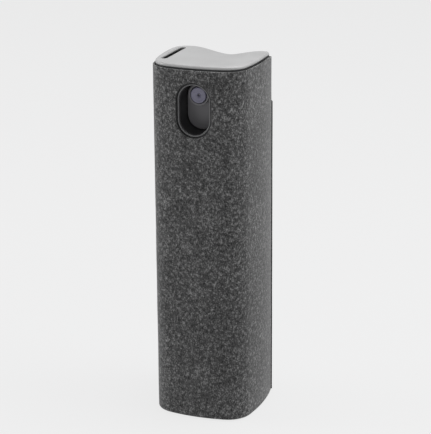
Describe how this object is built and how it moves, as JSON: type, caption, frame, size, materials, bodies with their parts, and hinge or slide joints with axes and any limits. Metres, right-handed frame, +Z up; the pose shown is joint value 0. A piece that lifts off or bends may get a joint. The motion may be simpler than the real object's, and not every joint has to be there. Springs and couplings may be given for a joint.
{
  "type": "lens cleaning spray",
  "caption": "Pocket mist sprayer for cleaning lenses: cloth-covered sleeve with an oval spray window, dished press-down top, and a lift-out bottle with pump and dip tube.",
  "frame": {"origin": "middle of the flat underside that the spray stands on", "axes": "+Z up along the bottle, -Y towards the side the nozzle sprays from, +X to the right seen from the front"},
  "size_m": [0.026, 0.028, 0.0912],
  "materials": {
    "cloth": "dark grey melange felt-like cloth, matte",
    "grey_plastic": "light grey, satin moulded",
    "black_plastic": "black, satin",
    "bezel_plastic": "mid grey, smooth",
    "dark_plastic": "dark grey, satin",
    "nozzle_plastic": "bluish grey, smooth",
    "clear_plastic": "translucent, clear to frosted",
    "milk_plastic": "natural milky white",
    "seal": "soft, matte",
    "steel": "stainless wire and ball"
  },
  "bodies": {
    "sleeve": {"fabric_wrap": "cloth", "outer_shell": "black_plastic", "window_bezel": "bezel_plastic", "base_plug": "dark_plastic", "foot_pad": "seal"},
    "refill": {"bottle": "clear_plastic"},
    "pump": {"pump_housing": "milk_plastic", "neck_gasket": "seal", "stem_guide": "milk_plastic", "stem_seal": "seal", "dip_tube": "clear_plastic", "pump_spring": "steel"},
    "closure": {"closure": "dark_plastic"},
    "press": {"thumb_key": "grey_plastic", "key_skirt": "dark_plastic", "spray_head": "dark_plastic", "nozzle_insert": "nozzle_plastic", "nozzle_core": "milk_plastic", "pump_stem": "milk_plastic", "piston": "milk_plastic", "plunger": "milk_plastic"},
    "ball": {"check_ball": "steel"}
  },
  "joints": [
    {"name": "refill_lift", "type": "slide", "parent": "sleeve", "child": "refill", "axis": [0, 0, 1], "range_m": [0, 0.1]},
    {"name": "pump_lift", "type": "slide", "parent": "refill", "child": "pump", "axis": [0, 0, 1], "range_m": [0, 0.065]},
    {"name": "closure_turn", "type": "hinge", "parent": "pump", "child": "closure", "pos_m": [0, 0, 0.062], "axis": [0, 0, 1], "range_deg": [0, 540]},
    {"name": "key_press", "type": "slide", "parent": "pump", "child": "press", "axis": [0, 0, -1], "range_m": [0, 0.003], "stiffness_N_per_m": 900, "springref_m": -0.004, "deforming": ["pump_spring"]},
    {"name": "ball_lift", "type": "slide", "parent": "pump", "child": "ball", "axis": [0, 0, 1], "range_m": [0, 0.0006]}
  ]
}
